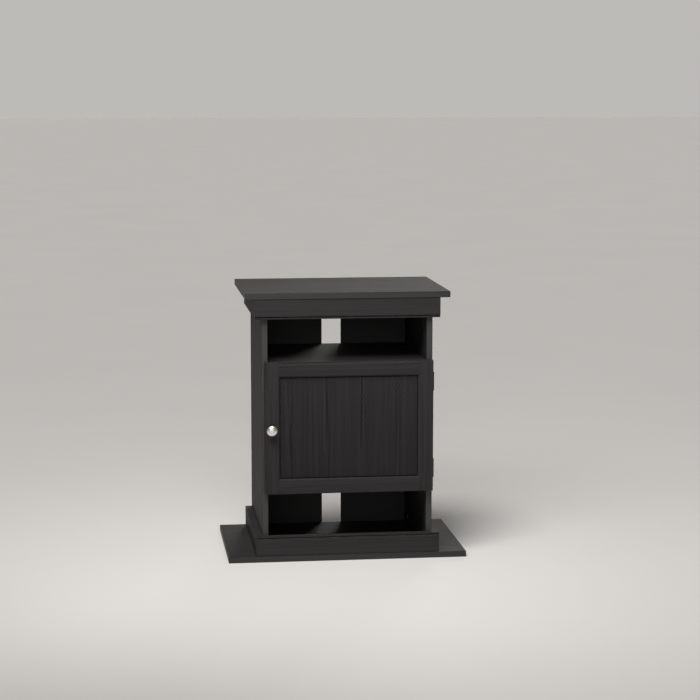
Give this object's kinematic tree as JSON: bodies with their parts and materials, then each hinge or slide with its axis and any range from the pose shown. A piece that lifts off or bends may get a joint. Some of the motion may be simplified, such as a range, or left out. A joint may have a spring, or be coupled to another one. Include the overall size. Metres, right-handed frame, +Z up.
{
  "type": "aquarium stand cabinet",
  "caption": "Upright aquarium stand cabinet with an open cubby above and below a hinged panel door, moulded apron and plinth, narrow top board and wide base board.",
  "frame": {"origin": "middle of the underside of the base board", "axes": "+Z up, -Y towards the front with the door, +X to the door's hinge side"},
  "size_m": [0.636, 0.4214, 0.716],
  "materials": {
    "black_laminate": "black laminated particle board with an embossed wood grain, satin",
    "door_laminate": "black embossed wood grain foil on fibreboard, satin",
    "backing_board": "thin hardboard, black paper on the inner face",
    "black_steel": "black painted steel, satin",
    "satin_nickel": "satin nickel",
    "zinc": "bright zinc plate",
    "black_plastic": "moulded black plastic"
  },
  "bodies": {
    "carcass": {"apron_front": "black_laminate", "apron_left": "black_laminate", "apron_right": "black_laminate", "back_panel_left": "backing_board", "back_panel_right": "backing_board", "base_board": "black_laminate", "cam_bolt_lower_left_front": "zinc", "cam_bolt_lower_left_rear": "zinc", "cam_bolt_lower_right_front": "zinc", "cam_bolt_lower_right_rear": "zinc", "cam_bolt_upper_left_front": "zinc", "cam_bolt_upper_left_rear": "zinc", "cam_bolt_upper_right_front": "zinc", "cam_bolt_upper_right_rear": "zinc", "cam_lower_left_front": "zinc", "cam_lower_left_rear": "zinc", "cam_lower_right_front": "zinc", "cam_lower_right_rear": "zinc", "cam_upper_left_front": "zinc", "cam_upper_left_rear": "zinc", "cam_upper_right_front": "zinc", "cam_upper_right_rear": "zinc", "catch_body": "black_plastic", "catch_screw_left": "zinc", "catch_screw_right": "zinc", "left_side_panel": "black_laminate", "lower_hinge_cabinet_leaf": "black_steel", "lower_hinge_cabinet_screw_high": "black_steel", "lower_hinge_cabinet_screw_low": "black_steel", "lower_hinge_pin": "black_steel", "lower_shelf": "black_laminate", "lower_shelf_cam_left": "zinc", "lower_shelf_cam_right": "zinc", "plinth_front": "black_laminate", "plinth_left": "black_laminate", "plinth_right": "black_laminate", "right_side_panel": "black_laminate", "top_board": "black_laminate", "upper_hinge_cabinet_leaf": "black_steel", "upper_hinge_cabinet_screw_high": "black_steel", "upper_hinge_cabinet_screw_low": "black_steel", "upper_hinge_pin": "black_steel", "upper_shelf": "black_laminate", "upper_shelf_cam_left": "zinc", "upper_shelf_cam_right": "zinc"},
    "door": {"door_bottom_rail": "door_laminate", "door_knob": "satin_nickel", "door_left_stile": "door_laminate", "door_panel": "door_laminate", "door_right_stile": "door_laminate", "door_top_rail": "door_laminate", "knob_screw": "zinc", "lower_hinge_door_leaf": "black_steel", "lower_hinge_door_screw_high": "black_steel", "lower_hinge_door_screw_low": "black_steel", "strike_plate": "zinc", "strike_screw": "zinc", "upper_hinge_door_leaf": "black_steel", "upper_hinge_door_screw_high": "black_steel", "upper_hinge_door_screw_low": "black_steel"}
  },
  "joints": [
    {"name": "door_hinge", "type": "hinge", "parent": "carcass", "child": "door", "pos_m": [0.2295, -0.1802, 0.358], "axis": [0, 0, 1], "range_deg": [0, 170]}
  ]
}
